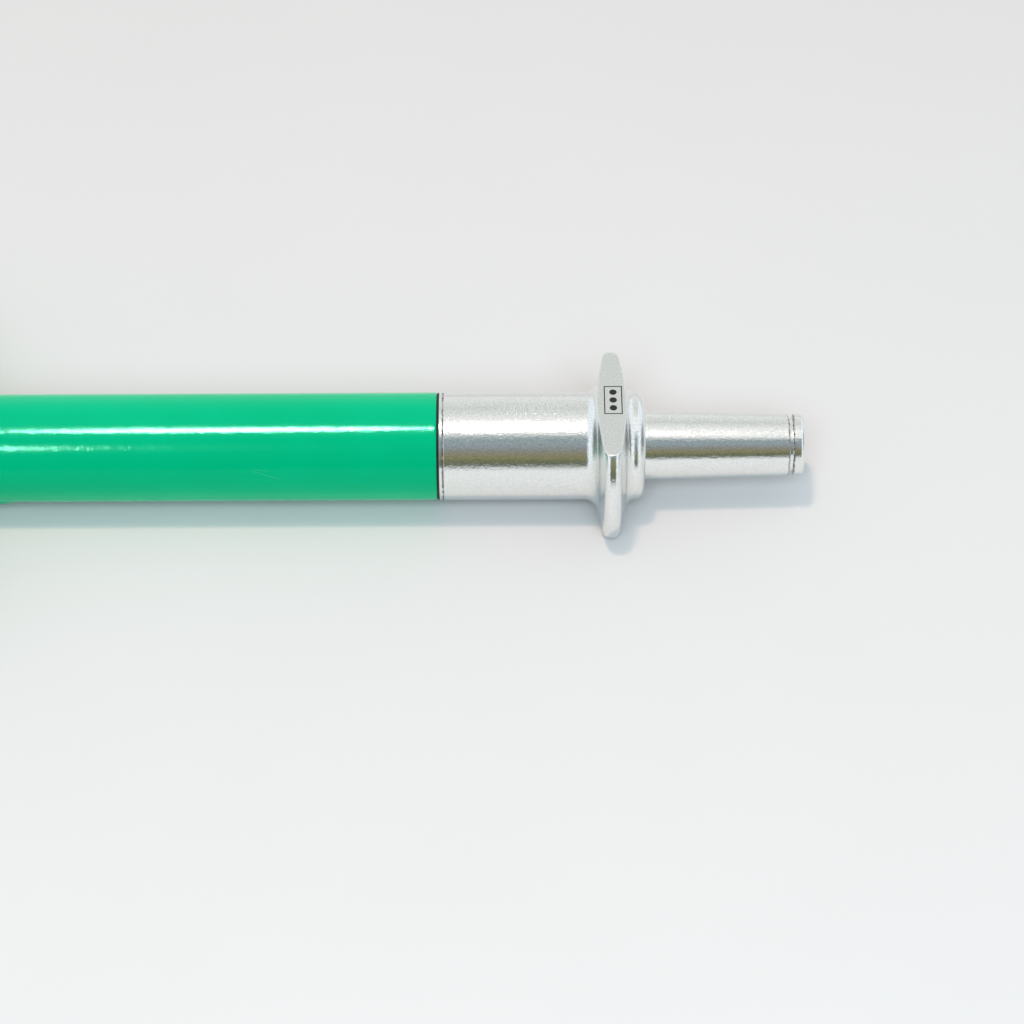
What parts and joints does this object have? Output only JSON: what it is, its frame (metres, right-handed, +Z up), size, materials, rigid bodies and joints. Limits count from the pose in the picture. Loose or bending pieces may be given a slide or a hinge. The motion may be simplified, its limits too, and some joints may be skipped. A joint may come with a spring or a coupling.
{
  "type": "post driver",
  "caption": "Slide-hammer post driver: a flanged head with a tapered spigot on a keyed rod, struck by a sliding tube hammer with side handles and a carrying lock.",
  "frame": {"origin": "bottom centre of the bounding box: under the tool's axis, half way along it, on the plane of the lower flange flat", "axes": "+X along the tool's axis towards the spigot, +Z up and square to the flange's flats"},
  "size_m": [0.7132, 0.166, 0.0681],
  "materials": {
    "plated_steel": "bright plating over a barrel-finished forging",
    "green_enamel": "glossy enamel",
    "bright_steel": "bright drawn, oiled",
    "black_steel": "black oxide",
    "bronze": "turned bronze",
    "brass": "turned brass",
    "black_rubber": "moulded, satin",
    "urethane": "cast, satin",
    "black_plastic": "moulded, fine texture"
  },
  "bodies": {
    "drive_shaft": {"drive_head": "plated_steel", "taper_spigot": "plated_steel", "anvil_washer": "plated_steel", "buffer_ring": "black_rubber", "drive_rod": "bright_steel", "rod_set_screw": "black_steel", "rod_stop_collar": "bright_steel", "stop_collar_pin": "black_steel", "collar_wear_ring": "bronze"},
    "hammer": {"hammer_tube": "green_enamel", "guide_bush": "bronze", "bush_retaining_ring": "black_steel", "stroke_bumper": "urethane", "ballast_slug": "bright_steel", "slug_pin_lower": "green_enamel", "slug_pin_upper": "green_enamel", "end_cap": "plated_steel", "cap_washer": "plated_steel", "cap_bolt": "plated_steel", "lock_boss": "green_enamel", "handle_bar_front": "green_enamel", "grip_front": "black_rubber", "handle_bar_rear": "green_enamel", "grip_rear": "black_rubber"},
    "lock_pad": {"lock_pad": "brass"},
    "lock_screw": {"lock_stud": "black_steel", "lock_knob": "black_plastic"}
  },
  "joints": [
    {"name": "hammer_slide", "type": "slide", "parent": "drive_shaft", "child": "hammer", "axis": [-1, 0, 0], "range_m": [0, 0.3]},
    {"name": "lock_advance", "type": "slide", "parent": "hammer", "child": "lock_pad", "axis": [0, 0, -1], "range_m": [0, 0.00455]},
    {"name": "lock_turn", "type": "hinge", "parent": "lock_pad", "child": "lock_screw", "pos_m": [0.06865, 0, 0.0573], "axis": [0, 0, -1], "range_deg": [0, 937]}
  ],
  "couplings": [
    {"joint": "lock_turn", "follows": "lock_advance", "rad_per_m": 3590.4}
  ]
}
